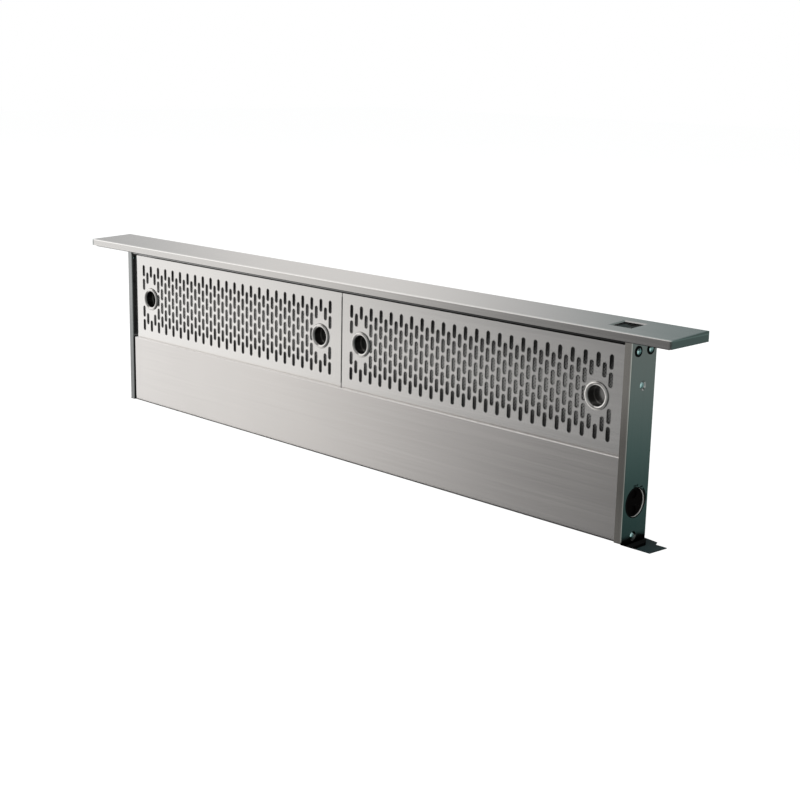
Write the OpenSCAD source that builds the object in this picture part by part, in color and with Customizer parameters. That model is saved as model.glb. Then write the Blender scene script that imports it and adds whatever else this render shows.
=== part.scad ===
// Telescoping downdraft vent for the rear of a cooktop.
// X runs along the vent to the right, Y to the back, Z up.
// The origin lies on the worktop surface, at the middle of the front face of the riser.
// The riser is drawn raised.

/* [Riser] */
// Depth of the riser, front to back
riser_d = 42; // [40:1:60]
// Height of the raised riser above the worktop, up to the underside of the cap
rise_h = 202; // [180:1:300]
// Length of the riser that stays in the housing when it is raised
tail_h = 90; // [80:1:120]
// How far the riser travels down
travel = 200; // [150:1:200]
// Thickness of the riser's sheet
sheet = 1.2; // [0.8:0.1:1.5]
// Width of the flanges of the side panels
flange_w = 8; // [7:0.5:12]
// Outer bend radius of the side panels
bend_r = 1.6; // [1.5:0.1:2.5]
// Height of the ledge that the filters stand on
ledge_h = 84.5; // [70:0.5:90]
// How far the lower front panel lies behind the flanges
panel_back = 2.3; // [2:0.1:4]
// How far the filter covers lie behind the flanges
cover_back = 8; // [6:0.5:8.5]

/* [Cap] */
// Length of the cap
cap_w = 914; // [760:1:1220]
// Overhang of the cap past each end of the riser
cap_end = 54.5; // [45:0.5:70]
// Height of the cap's folded rim at the front
cap_h = 8; // [7:0.5:12]
// How far the cap's top falls from its back edge to its front edge
cap_fall = 2.4; // [0:0.1:5]
// Overhang of the cap in front of the riser
cap_front = 17.4; // [14:0.1:24]
// Overhang of the cap behind the riser
cap_rear = 1.8; // [1:0.1:12]
// Radius of the cap's long top edges
cap_edge_r = 1; // [0.5:0.1:1]

/* [Filters] */
// Distance between the long columns of slots
col_pitch = 15.6; // [14:0.1:15.6]
// Distance between the slots of one column
row_pitch = 17.9; // [16:0.1:17.9]
// Width of a slot
slot_w = 4.4; // [3:0.1:6]
// Length of a slot
slot_l = 14.3; // [10:0.1:15]
// Least distance from the outer columns' middle to the ends of a cover
col_margin = 13; // [11:0.5:17]
// Least distance from the outer slots' middle to the top and foot of a cover
row_margin = 14; // [11:0.5:19]
// Thickness of the cover's sheet
cover_t = 0.7; // [0.6:0.1:1.2]
// Seam between the two covers
seam = 1.2; // [0.6:0.1:2]
// Inside diameter of a finger cup
cup_d = 20; // [16:0.5:22]
// Diameter over the rolled rim of a finger cup
cup_rim_d = 29.5; // [26:0.5:31]
// How far the rolled rim stands proud of the cover
cup_proud = 1.9; // [1.5:0.1:3]

/* [Controls] */
// Side of the square switch opening in the cap
switch_w = 23.2; // [20:0.2:28]
// Distance from the riser's right side to the middle of the switch
switch_in = 17.5; // [17:0.5:60]
// Tilt of the resting rocker's left half, as its ridge height
rocker_ridge = 1.2; // [0.5:0.1:2]
// Diameter of the speed knob
knob_d = 27.4; // [22:0.2:28]
// How far the knob's face lies inside the side panel
knob_sunk = 1.7; // [0.5:0.1:4]
// Height of the knob's centre above the worktop
knob_h = 38; // [32:1:50]
// Depth of the recess that holds the knob
knob_recess = 9; // [8:0.5:14]

/* [Housing] */
// Thickness of the housing's sheet
shell_t = 1.2; // [1:0.1:1.5]
// Gap between the riser and the housing at the front and back
mouth_gap = 2; // [2:0.1:4]
// Gap between the riser and the housing at each end
end_gap = 11; // [10.8:0.1:14]
// Room between the lift motor and the foot of the housing
motor_room = 11.6; // [8:0.2:60]
// Thickness of the worktop that the brackets reach under
worktop_t = 40; // [20:1:60]
// Outside diameter of the duct collar
collar_d = 149; // [100:1:149]
// Length of the duct collar
collar_l = 45; // [30:1:80]
// Distance of the duct collar to the left of the middle
collar_off = 200; // [180:5:260]

/* [Lift] */
// Diameter of the lead screw
screw_d = 10; // [8:0.5:10.5]
// Diameter of the lift motor
motor_d = 33; // [28:1:33]
// Length of the lift motor
motor_l = 60; // [40:1:65]

/* [Hidden] */
$fn = 48;

// Overrun of every cut
over = 1;
// Gap between pieces that lie face to face
snug = 0.1;
// Gap between pieces that slide past each other
slip = 0.3;
// Radial clearance of a running fit
run = 0.05;

// Riser
riser_w = cap_w - 2 * cap_end;
half_w = riser_w / 2;
web_in = half_w - sheet;
riser_top = rise_h - snug;
riser_bottom = -tail_h;
bay_half = half_w - flange_w;
screw_shank_l = 3;

// Cap
cap_bottom = rise_h;
cap_top = cap_bottom + cap_h;
cap_y0 = -cap_front;
cap_y1 = riser_d + cap_rear;
cap_slope = cap_fall / (cap_y1 - cap_y0 - 2 * cap_edge_r);
cap_sheet = 1.2;
corner_seam = 0.5;
base_t = 1.2;
gasket_t = 1.3;
gasket_w = 6;
gasket_inset = 3.5;
gasket_end_inset = 4.5;

// Filters
cover_gap = 0.7;
cover_w = bay_half - cover_gap - seam / 2;
cover_z0 = ledge_h + snug;
cover_top_gap = 1.2;
header_leg = 7.7;
cover_z1 = riser_top - header_leg - cover_top_gap;
cover_h = cover_z1 - cover_z0;
cover_y0 = cover_back;
filter_share = 0.3;
filter_d = (riser_d - cover_back) * filter_share;
filter_y1 = cover_y0 + filter_d;
frame_border = 10;
frame_t = 2.3;
frame_gap = 0.4;
cover_edge_gap = 0.9;
cover_edge_d = filter_d - frame_t - cover_edge_gap;
col_count = floor((cover_w - 2 * col_margin) / col_pitch) + 1;
row_count = 2 * floor((cover_h - 2 * row_margin) / row_pitch / 2) + 1;
grid_w = (col_count - 1) * col_pitch;
grid_h = (row_count - 1) * row_pitch;
grid_shift = -2;
grid_drop = 0.3;
grid_x0 = (cover_w - grid_w) / 2 + grid_shift;
grid_z0 = (cover_h - grid_h) / 2 - grid_drop;
cup_col = 1;
cup_row = (row_count - 1) / 2;
cup_wall = 0.8;
cup_hole_d = cup_d + 2 * cup_wall + 2 * snug;
cup_depth = filter_d;
mesh_gap = 0.2;
mesh_d = filter_d - frame_t - frame_gap - cover_t - mesh_gap;

// Filter seat and header
seat_gap = 0.4;
seat_over = 0.9;
seat_y0 = filter_y1 + seat_gap;
seat_half = web_in - screw_shank_l;
seat_border_end = 10;
seat_border_mid = 11;
seat_border_low = 7;
seat_border_top = 8;
seat_z0 = ledge_h + snug;
seat_z1 = cover_z1 + seat_over;
seat_win_z0 = ledge_h + seat_border_low;
seat_win_z1 = seat_z1 - seat_border_top;
magnet_d = 5;
magnet_l = 3;
magnet_share = [0.15, 0.86];
header_back = 0.4;
header_y0 = cover_y0 + header_back;
header_rear_leg = 12;
rear_y0 = riser_d - sheet - snug - sheet;
header_y1 = rear_y0 - snug;
panel_return = 3.2;
panel_side_gap = 0.3;
panel_bend_r = 2;

// Switch
switch_x = half_w - switch_in;
switch_behind = 3;
switch_y = (cap_y0 + cap_y1) / 2 + switch_behind;
switch_fit = 0.2;
switch_wall = 1.4;
switch_floor_t = 1.4;
switch_drop = 1.6;
switch_top = cap_z(switch_y);
block_top = riser_top - snug;
dish_w = 1.7;
dish_share = 0.8;
dish_d = cap_sheet * dish_share;
block_w = 22;
block_gap = 1.2;
block_rear_gap = 3.5;
block_y0 = seat_y0 + sheet + block_gap;
block_d = rear_y0 - block_y0 - block_rear_gap;
block_h = 16;
rocker_gap = 2;
rocker_sunk = 0.6;
rocker_h = 3.6;
rocker_pin_d = 2.4;
rocker_pin_l = 1.2;
terminal_w = 4.8;
terminal_t = 0.8;
terminal_h = 8;
terminal_gap = 7;

// Speed control
knob_forward = 0.5;
knob_y = riser_d / 2 - knob_forward;
ring_gap = 0.6;
ring_wall = 0.8;
ring_in_d = knob_d + 2 * ring_gap;
ring_out_d = ring_in_d + 2 * ring_wall;
dial_w = 0.2;
dial_t = 0.4;
knob_play = 0.4;
knob_l = knob_recess - ring_wall - knob_sunk - knob_play;
knob_grip_w = 5;
knob_grip_h = 1.6;
knob_grip_n = 18;
knob_flute_d = 2;
knob_shaft_d = 6;
knob_shaft_l = 12;
pot_d = 24;
pot_l = 16;
pot_bush_d = 10;

// Side screws: distance behind the front face and height of each, those with a washer and those without
screw_front = 11;
screw_rear = 31;
top_screw_drop = 13.5;
mid_screw_drop = 48;
mid_screw_y = 21.5;
foot_screw_y = 20;
foot_screw_z = 4;
tail_screw_up = 11;
shoe_up = 1;
shoe_h = 38;
tail_screw_z = riser_bottom + shoe_up + shoe_h + tail_screw_up;
washer_places = [for (y = [screw_front, screw_rear], z = [rise_h - top_screw_drop, tail_screw_z]) [y, z]];
bare_places = [[mid_screw_y, rise_h - mid_screw_drop], [foot_screw_y, foot_screw_z]];
screw_places = concat(washer_places, bare_places);
screw_head_d = 6.6;
screw_head_h = 1.4;
screw_shank_d = 4;
screw_hole_d = 4.4;
washer_d = 10.8;
washer_t = 0.7;
dimple_d = 9.8;
dimple_floor_d = 7.4;
dimple_h = 1.4;
dimple_flare = (dimple_d - dimple_floor_d) / dimple_h;
drive_share = [0.62, 0.17, 0.5];

// Housing
in_half = half_w + end_gap;
out_half = in_half + shell_t;
in_y0 = -mouth_gap;
in_y1 = riser_d + mouth_gap;
out_y0 = in_y0 - shell_t;
out_y1 = in_y1 + shell_t;
wall_y1 = in_y1 - snug;
mouth_z = -1;
rim_w = 8;
collar_t = 0.8;
collar_flange = 14;
collar_rim = 3;
collar_low = 7.5;
collar_side = collar_d + 2 * collar_flange;
collar_hole_d = collar_d - 2 * collar_t;
panel_screw_d = 8;
panel_screw_h = 2;
panel_screw_in = 5;
panel_screw_share = [0.07, 0.31, 0.55, 0.79, 0.97];
floor_screw_gap = 12;
floor_screw_share = [0.3, 0.75];
seal_h = 8;
seal_top = -2;

// Slides
rail_web = 1.4;
rail_w = 22;
rail_lip = 1.5;
rail_slot = 14;
rail_gap = 3.1;
rail_depth = end_gap - rail_gap;
rail_behind = 1;
rail_y = riser_d / 2 + rail_behind;
rail_top = -12;
rail_past = 45;
rail_bottom = -(tail_h + travel + rail_past);
shoe_play = 0.5;
shoe_neck = rail_slot - 2 * shoe_play;
flag_t = 2.7;
flag_d = 9;
flag_h = 10;
limit_rear_gap = 1.7;
limit_y0 = rail_y + rail_w / 2 + slip;
limit_box = [6.8, in_y1 - limit_y0 - limit_rear_gap, 20];
lever_t = 1;

// Crosshead, nut and lead screw
cross_w = 18;
cross_h = 20;
cross_t = 2;
cross_up = 22;
cross_z1 = riser_bottom + cross_up;
screw_share = 0.3655;
screw_back = seat_y0 + sheet + (rear_y0 - seat_y0 - sheet) * screw_share;
nut_d = 16;
nut_gap = 0.5;
nut_flange_d = 2 * (rear_y0 - nut_gap - screw_back);
nut_flange_t = 3;
nut_drop = 12;
nut_up = 8;
screw_proud = 10;
screw_past = 50;
screw_top = cross_z1 + nut_up + screw_proud;
screw_bottom = -(tail_h + travel + screw_past);
screw_stop_gap = 0.6;
screw_stop_d = 2 * (screw_back - seat_y0 - sheet - screw_stop_gap);
screw_stop_h = 4;
journal_d = screw_d - 2;
journal_l = 26;
plate_t = 3;
bracket_x0 = -40;
bracket_x1 = 70;
bracket_flange_h = 34;
bearing_d = 22;
bearing_h = 7;
gearbox_x0 = -16;
gearbox_w = 70;
gearbox_d = 2 * (in_y1 - 2 * snug - screw_back);
gearbox_h = 24;
gearbox_r = 5;
motor_x = 34;
motor_neck_d = 20;
motor_neck_l = 4;
motor_cap_l = 8;
bearing_z0 = screw_bottom - snug - bearing_h;
bracket_z0 = bearing_z0 - snug - plate_t;
gearbox_z0 = bracket_z0 - snug - gearbox_h;
motor_z0 = gearbox_z0 - snug - motor_neck_l - motor_l;
housing_h = motor_room - motor_z0;
floor_z = -housing_h;
collar_z = floor_z + collar_low + collar_d / 2;

// Wiring box
box_x0 = 150;
box_w = 140;
box_h = 100;
box_drop = 140;
box_z0 = -box_drop - box_h;
box_d = 40;
box_y1 = out_y0 - snug;
box_y0 = box_y1 - box_d;
box_t = 1.2;
inlet_d = 22.2;
inlet_in = 20;
board_t = 1.6;
board_gap = 6;
board_inset = 8;
standoff_d = 6;
relay_box = [19, 15, 15];
relay_gap = 26;
relay_count = 4;

// Brackets and legs
bracket_t = 2;
bracket_reach = 38;
bracket_drop = 60;
bracket_d = 38;
bolt_out = 33.5;
bolt_x = half_w + bolt_out;
bolt_dy = 24;
bolt_slot_w = 5.5;
bolt_slot_l = 12;
leg_d = 30;
leg_overlap = 60;
leg_drop = 50;
leg_hole_d = 6.4;
leg_slot_l = 34;
leg_slot_w = 6;

// Plate at the right foot
end_plate_t = 0.9;
leaf_in = 19.4;
leaf_out = 35;
back_leaf_in = 7.5;
back_leaf_out = 22;
leaf_x0 = half_w + leaf_in;
leaf_x1 = half_w + leaf_out;
back_leaf_x0 = half_w + back_leaf_in;
back_leaf_x1 = half_w + back_leaf_out;
leaf_skew = 2.6;
leaf_y0 = -1.6;
leaf_slant_y0 = 14.4;
leaf_y1 = 23.2;
back_leaf_y1 = 30;
back_leaf_skew = 2.4;
end_tab_y0 = 26;
end_tab_w = 4;
end_tab_h = 18;
end_tab_t = 1;

// Rectangle with round corners
module rounded(w, d, r) {
    translate([r, 0]) square([w - 2 * r, d]);
    translate([0, r]) square([w, d - 2 * r]);
    for (x = [r, w - r], y = [r, d - r]) translate([x, y]) circle(r = r);
}

// Slot with round ends, standing along the second axis, centred
module slot(w, l) {
    square([w, l - w], center = true);
    for (s = [-1, 1]) translate([0, s * (l - w) / 2]) circle(d = w);
}

// Extrudes a flat shape drawn in X and Z back along Y
module back(d) { rotate([90, 0, 0]) mirror([0, 0, 1]) linear_extrude(d) children(); }

// Extrudes a flat shape drawn in Y and Z along X
module along(l) { rotate([90, 0, 90]) linear_extrude(l) children(); }

// Puts a piece drawn for the right end at the left end
module at_left() { mirror([1, 0, 0]) children(); }

// Radius of the ball whose cap has this diameter and height
function ball_r(d, h) = (d * d / 4 + h * h) / (2 * h);

// Domed screw head with a cross recess, standing on the origin along Z
module screw_head(d, h) {
    r = ball_r(d, h);
    difference() {
        rotate_extrude() intersection() {
            translate([0, h - r]) circle(r = r, $fn = 96);
            square([d / 2, h]);
        }
        for (a = [0, 90]) rotate([0, 0, a])
            translate([-d * drive_share[0] / 2, -d * drive_share[1] / 2, h * (1 - drive_share[2])])
                cube([d * drive_share[0], d * drive_share[1], h]);
    }
}

// Cap: folded tray, open below, whose top falls towards the front, with its corner seams and switch opening
function cap_z(y) = cap_top + (y - cap_y0 - cap_edge_r) * cap_slope;
module cap_profile() {
    r = cap_edge_r;
    angle = atan(cap_slope);
    edges = [[cap_y0 + r, cap_top - r], [cap_y1 - r, cap_top + cap_fall - r]];
    lift = [-r * sin(angle), r * cos(angle)];
    polygon([[cap_y0, cap_bottom], [cap_y1, cap_bottom], [cap_y1, edges[1][1]],
             edges[1] + lift, edges[0] + lift, [cap_y0, edges[0][1]]]);
    for (e = edges) translate(e) circle(r = r);
}
module cap_hollow() {
    y0 = cap_y0 + cap_sheet;
    y1 = cap_y1 - cap_sheet;
    polygon([[y0, cap_bottom - over], [y1, cap_bottom - over], [y1, cap_z(y1) - cap_sheet],
             [y0, cap_z(y0) - cap_sheet]]);
}
module cap() {
    color("#c9c7c4") difference() {
        translate([-cap_w / 2, 0, 0]) along(cap_w) cap_profile();
        translate([-cap_w / 2 + cap_sheet, 0, 0]) along(cap_w - 2 * cap_sheet) cap_hollow();
        switch_opening(0);
        switch_dish();
        for (s = [-1, 1], y = [cap_y0, cap_y1])
            translate([s * (cap_w / 2 - cap_sheet), y, cap_bottom - over])
                translate([-corner_seam / 2, -corner_seam, 0])
                    cube([corner_seam, 2 * corner_seam, cap_z(y) - cap_edge_r - cap_bottom + over]);
    }
}
module switch_opening(extra) {
    w = switch_w + 2 * extra;
    translate([switch_x - w / 2, switch_y - w / 2, cap_bottom - over]) cube([w, w, 2 * cap_h]);
}

// The cap's sheet slopes down to the switch opening on all four sides
module dish_profile() {
    half = switch_w / 2;
    rim = half + dish_w;
    top = dish_d + over;
    polygon([[-half, 0], [half, 0], [rim, dish_d], [rim, top], [-rim, top], [-rim, dish_d]]);
}
module switch_dish() {
    translate([switch_x, switch_y, switch_top]) rotate([atan(cap_slope), 0, 0]) intersection() {
        translate([0, -switch_w, -dish_d]) back(2 * switch_w) dish_profile();
        translate([-switch_w, 0, -dish_d]) along(2 * switch_w) dish_profile();
    }
}

// Flat plate inside the cap, which closes it below
module cap_base() {
    color("#8f9090") difference() {
        translate([-cap_w / 2 + cap_sheet + snug, cap_y0 + cap_sheet + snug, cap_bottom])
            cube([cap_w - 2 * (cap_sheet + snug), cap_y1 - cap_y0 - 2 * (cap_sheet + snug), base_t]);
        switch_opening(switch_fit);
    }
}
module cap_gasket() {
    x = cap_w / 2 - gasket_end_inset;
    color("#1b1c1d") translate([0, 0, cap_bottom - gasket_t]) difference() {
        translate([-x, cap_y0 + gasket_inset, 0])
            cube([2 * x, riser_d - cap_y0 - gasket_inset, gasket_t]);
        translate([-x + gasket_w, cap_y0 + gasket_inset + gasket_w, -over])
            cube([2 * (x - gasket_w), riser_d - cap_y0, gasket_t + 2 * over]);
    }
}

// Channel under the cap that joins the riser's side panels
module header_rail() {
    color("#77797a") difference() {
        translate([-web_in + snug, header_y0, riser_top - header_rear_leg])
            cube([2 * (web_in - snug), header_y1 - header_y0, header_rear_leg]);
        translate([-web_in - over, header_y0 + sheet, riser_top - header_rear_leg - over])
            cube([2 * web_in + 2 * over, header_y1 - header_y0 - 2 * sheet, header_rear_leg - sheet + over]);
        translate([-web_in - over, header_y0 - over, riser_top - header_rear_leg - over])
            cube([2 * web_in + 2 * over, sheet + 2 * over, header_rear_leg - header_leg + over]);
        translate([switch_x - block_w / 2 - switch_fit, block_y0 - switch_fit, block_top - sheet - over])
            cube([block_w + 2 * switch_fit, block_d + 2 * switch_fit, sheet + 3 * over]);
    }
}

// Side panel: a channel with its web outside, bent flanges, and the holes for the screws
module side_profile() {
    difference() {
        translate([half_w - flange_w, 0]) difference() {
            translate([-bend_r, 0]) rounded(flange_w + bend_r, riser_d, bend_r);
            translate([-bend_r - over, -over]) square([bend_r + over, riser_d + 2 * over]);
        }
        translate([half_w - flange_w - over, sheet]) square([flange_w + over - bend_r, riser_d - 2 * sheet]);
        translate([half_w - bend_r - over, bend_r]) square([bend_r + over - sheet, riser_d - 2 * bend_r]);
        for (y = [bend_r, riser_d - bend_r])
            translate([half_w - bend_r, y]) circle(r = bend_r - sheet);
    }
}

// Dimple pressed into the web round a screw that has no washer: its back and its hollow
module dimple_back() {
    rotate([0, -90, 0]) cylinder(d1 = dimple_d + sheet, d2 = dimple_floor_d + sheet, h = dimple_h + sheet);
}
module dimple_hollow() {
    translate([over, 0, 0]) rotate([0, -90, 0])
        cylinder(d1 = dimple_d + dimple_flare * over, d2 = dimple_floor_d, h = dimple_h + over);
}
module side_panel(knob) {
    difference() {
        union() {
            translate([0, 0, riser_bottom]) linear_extrude(riser_top - riser_bottom) side_profile();
            for (p = bare_places) translate([half_w, p[0], p[1]]) dimple_back();
        }
        for (p = bare_places) translate([half_w, p[0], p[1]]) dimple_hollow();
        for (p = screw_places) translate([web_in - dimple_h - over, p[0], p[1]]) rotate([0, 90, 0])
            cylinder(d = screw_hole_d, h = sheet + dimple_h + 2 * over);
        if (knob) translate([web_in - over, knob_y, knob_h]) rotate([0, 90, 0])
            cylinder(d = ring_out_d + 2 * snug, h = sheet + 2 * over);
    }
}
module side_panel_right() { color("#5c6664") side_panel(true); }
module side_panel_left() { color("#8f9292") at_left() side_panel(false); }

// Lower front panel: its sides and its top are folded back, and the top is the ledge
module lower_front_panel() {
    half = bay_half - panel_side_gap;
    ledge_y1 = seat_y0 - snug;
    ledge_z0 = ledge_h - sheet;
    color("#b9b6b2") difference() {
        intersection() {
            translate([-half, panel_back, riser_bottom]) linear_extrude(ledge_h - riser_bottom)
                rounded(2 * half, 2 * ledge_y1, panel_bend_r);
            translate([-half, panel_back, 0]) along(2 * half) {
                translate([0, riser_bottom]) square([ledge_y1 - panel_back, ledge_z0 - riser_bottom]);
                translate([sheet, ledge_z0]) square([ledge_y1 - panel_back - sheet, sheet]);
                translate([sheet, ledge_z0]) circle(r = sheet);
            }
        }
        translate([-half + sheet, panel_back + sheet, riser_bottom - over])
            cube([2 * (half - sheet), 2 * ledge_y1, ledge_h - riser_bottom - sheet + over]);
        translate([-half - over, panel_back + panel_return, riser_bottom - over])
            cube([2 * (half + over), 2 * ledge_y1, ledge_h - riser_bottom - sheet + over]);
    }
}
module rear_panel() {
    color("#a5a5a3") translate([-web_in + slip, rear_y0, riser_bottom])
        cube([2 * (web_in - slip), sheet, riser_top - riser_bottom]);
}

// Frame that the filters seat against, with a window behind each filter
module filter_seat() {
    color("#7d8080") difference() {
        translate([-seat_half, seat_y0, seat_z0]) cube([2 * seat_half, sheet, seat_z1 - seat_z0]);
        for (x = [seat_border_mid, -bay_half + seat_border_end])
            translate([x, seat_y0 - over, seat_win_z0])
            cube([bay_half - seat_border_mid - seat_border_end, sheet + 2 * over, seat_win_z1 - seat_win_z0]);
        magnets(magnet_d + 2 * snug, sheet + over, seat_y0 - over / 2);
    }
}
module magnets(d, l, y) {
    for (s = [-1, 1], share = magnet_share)
        translate([s * bay_half * share, y, seat_z1 - seat_border_top / 2]) rotate([-90, 0, 0])
            cylinder(d = d, h = l);
}
module holding_magnets() { color("#3c3d40") magnets(magnet_d - 2 * snug, magnet_l, seat_y0 - snug); }

// Cover: slots in a staggered grid, with the edges folded back
function has_slot(u, v) =
    let (near = min(u, 2 * (col_count - 1) - u), du = abs(near - 2 * cup_col), dv = abs(v - 2 * cup_row))
    !(du < 2 && dv <= 2) && !(near == 0 && dv == 0);
module slot_grid() {
    for (u = [0 : 2 * (col_count - 1)], v = [u % 2 : 2 : 2 * (row_count - 1) - u % 2])
        if (has_slot(u, v))
            translate([grid_x0 + u * col_pitch / 2, grid_z0 + v * row_pitch / 2]) slot(slot_w, slot_l);
}
module cup_places() {
    for (u = [cup_col, col_count - 1 - cup_col])
        translate([grid_x0 + u * col_pitch, 0, grid_z0 + cup_row * row_pitch]) children();
}
module at_filter(side) {
    translate([side > 0 ? seam / 2 : -seam / 2 - cover_w, 0, cover_z0]) children();
}
module filter_cover(side) {
    at_filter(side) difference() {
        translate([0, cover_y0, 0]) cube([cover_w, cover_edge_d, cover_h]);
        translate([cover_t, cover_y0 + cover_t, cover_t])
            cube([cover_w - 2 * cover_t, cover_edge_d, cover_h - 2 * cover_t]);
        translate([0, cover_y0 - over, 0]) back(cover_t + 2 * over) slot_grid();
        cup_places() translate([0, cover_y0 - over, 0]) rotate([-90, 0, 0])
            cylinder(d = cup_hole_d, h = cover_t + 2 * over);
    }
}
module filter_cover_left() { color("#d6d3cf") filter_cover(-1); }
module filter_cover_right() { color("#bdbab6") filter_cover(1); }

// Grease mesh, drawn as a solid pad
module filter_mesh(side) {
    gap = cover_t + mesh_gap;
    at_filter(side) difference() {
        translate([gap, cover_y0 + gap, gap]) cube([cover_w - 2 * gap, mesh_d, cover_h - 2 * gap]);
        cup_places() translate([0, cover_y0, 0]) rotate([-90, 0, 0])
            cylinder(d = cup_hole_d, h = filter_d + over);
    }
}
module filter_mesh_left() { color("#6d6e6c") filter_mesh(-1); }
module filter_mesh_right() { color("#6d6e6c") filter_mesh(1); }

// Retaining frame behind the mesh
module filter_frame(side) {
    at_filter(side) difference() {
        translate([0, filter_y1 - frame_t, 0]) cube([cover_w, frame_t, cover_h]);
        translate([frame_border, filter_y1 - frame_t - over, frame_border])
            cube([cover_w - 2 * frame_border, frame_t + 2 * over, cover_h - 2 * frame_border]);
    }
}
module filter_frame_left() { color("#8b8d8d") filter_frame(-1); }
module filter_frame_right() { color("#8b8d8d") filter_frame(1); }

// Finger cup: rounded rim, tube and closed bottom
module finger_cup() {
    rim = cup_rim_d / 2;
    throat = cup_d / 2;
    bead = ball_r(rim - throat, cup_proud);
    rotate([90, 0, 0]) rotate_extrude($fn = 64) {
        translate([throat, -cup_depth]) square([cup_wall, cup_depth]);
        translate([0, -cup_depth]) square([throat + cup_wall, cup_wall]);
        intersection() {
            translate([(rim + throat) / 2, cup_proud - bead]) circle(r = bead);
            translate([throat, 0]) square([rim - throat, cup_proud]);
        }
    }
}
module finger_cups(side) { at_filter(side) cup_places() translate([0, cover_y0, 0]) finger_cup(); }
module finger_cups_left() { color("#d9d7d3") finger_cups(-1); }
module finger_cups_right() { color("#c4c2be") finger_cups(1); }

// Crosshead: inverted channel across the foot of the riser
module crosshead() {
    color("#8a8c8e") translate([0, screw_back - cross_w / 2, 0]) difference() {
        translate([-web_in + snug, 0, cross_z1 - cross_h]) cube([2 * (web_in - snug), cross_w, cross_h]);
        translate([-web_in + snug + cross_t, cross_t, cross_z1 - cross_h - over])
            cube([2 * (web_in - snug - cross_t), cross_w - 2 * cross_t, cross_h - cross_t + over]);
        translate([0, cross_w / 2, cross_z1 - cross_h]) cylinder(d = nut_d + 2 * snug, h = 2 * cross_h);
    }
}
module lift_nut() {
    color("#b08d57") translate([0, screw_back, cross_z1]) difference() {
        union() {
            translate([0, 0, -nut_drop]) cylinder(d = nut_d, h = nut_drop + nut_up);
            translate([0, 0, snug]) cylinder(d = nut_flange_d, h = nut_flange_t);
        }
        translate([0, 0, -nut_drop - over]) cylinder(d = screw_d + 2 * run, h = nut_drop + nut_up + 2 * over);
    }
}

// Shoe that runs in the guide rail, with the flag that trips the limit switches
module slide_shoe() {
    neck_x1 = in_half - rail_depth + rail_lip + slip;
    head_x1 = in_half - rail_web - slip;
    translate([0, rail_y, riser_bottom + shoe_up]) {
        translate([half_w + snug, -shoe_neck / 2, 0]) cube([neck_x1 - half_w - snug, shoe_neck, shoe_h]);
        translate([neck_x1, -rail_w / 2 + rail_lip + slip, 0])
            cube([head_x1 - neck_x1, rail_w - 2 * (rail_lip + slip), shoe_h]);
        translate([half_w + snug, 0, 0]) cube([flag_t, shoe_neck / 2 + flag_d, flag_h]);
    }
}
module slide_shoe_right() { color("#e4e2da") slide_shoe(); }
module slide_shoe_left() { color("#e4e2da") at_left() slide_shoe(); }

// Side screws and their washers, both ends
module both_ends() {
    children();
    at_left() children();
}
module side_screw(base) {
    translate([half_w + base, 0, 0]) rotate([0, 90, 0]) {
        screw_head(screw_head_d, screw_head_h);
        translate([0, 0, -screw_shank_l - base]) cylinder(d = screw_shank_d, h = screw_shank_l + base);
    }
}
module side_screws() {
    color("#b9bcbc") both_ends() {
        for (p = washer_places) translate([0, p[0], p[1]]) side_screw(washer_t);
        for (p = bare_places) translate([0, p[0], p[1]]) side_screw(snug - dimple_h);
    }
}
module screw_washers() {
    color("#141516") both_ends() for (p = washer_places) translate([half_w, p[0], p[1]]) rotate([0, 90, 0])
        difference() {
            cylinder(d = washer_d, h = washer_t - snug);
            translate([0, 0, -over]) cylinder(d = screw_hole_d, h = washer_t + 2 * over);
        }
}

// Switch: a tray in the cap, with a neck down to a block behind the filters
module switch_body() {
    w = switch_w - 2 * switch_fit;
    room = w - 2 * switch_wall;
    neck_w = block_w - 2 * switch_wall;
    neck_d = switch_y + w / 2 - block_y0;
    color("#17191a") difference() {
        union() {
            translate([switch_x - w / 2, switch_y - w / 2, cap_bottom])
                cube([w, w, switch_top - switch_drop - cap_bottom]);
            translate([switch_x - neck_w / 2, block_y0, block_top - over])
                cube([neck_w, neck_d, cap_bottom - block_top + over + switch_floor_t]);
            translate([switch_x - block_w / 2, block_y0, block_top - block_h])
                cube([block_w, block_d, block_h]);
        }
        translate([switch_x - room / 2, switch_y - room / 2, cap_bottom + switch_floor_t])
            cube([room, room, cap_h + cap_fall]);
        translate([switch_x, switch_y - room / 2 - rocker_pin_l, rocker_z()]) rotate([-90, 0, 0])
            cylinder(d = rocker_pin_d + 2 * run, h = room + 2 * rocker_pin_l);
    }
}
module switch_terminals() {
    color("#b39552") for (i = [-1, 0, 1])
        translate([switch_x + i * terminal_gap - terminal_w / 2, block_y0 + block_d / 2 - terminal_t / 2,
                   block_top - block_h - terminal_h - snug])
            cube([terminal_w, terminal_t, terminal_h]);
}
function rocker_z() = switch_top - switch_drop - rocker_h / 2 - rocker_sunk;
module rocker() {
    w = switch_w - 2 * (switch_fit + switch_wall + rocker_gap);
    pin = w + 2 * rocker_gap + 2 * (rocker_pin_l - slip);
    color("#0c0d0e") translate([switch_x, switch_y, rocker_z()]) {
        translate([0, w / 2, 0]) rotate([90, 0, 0]) linear_extrude(w) polygon([
            [-w / 2, rocker_h / 2 + rocker_ridge / 2], [0, rocker_h / 2 - rocker_ridge / 2],
            [w / 2, rocker_h / 2 + rocker_ridge / 2], [w / 2, -rocker_h / 4],
            [w / 4, -rocker_h / 2], [-w / 4, -rocker_h / 2], [-w / 2, -rocker_h / 4]]);
        translate([0, -pin / 2, 0]) rotate([-90, 0, 0]) cylinder(d = rocker_pin_d, h = pin);
    }
}

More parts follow.
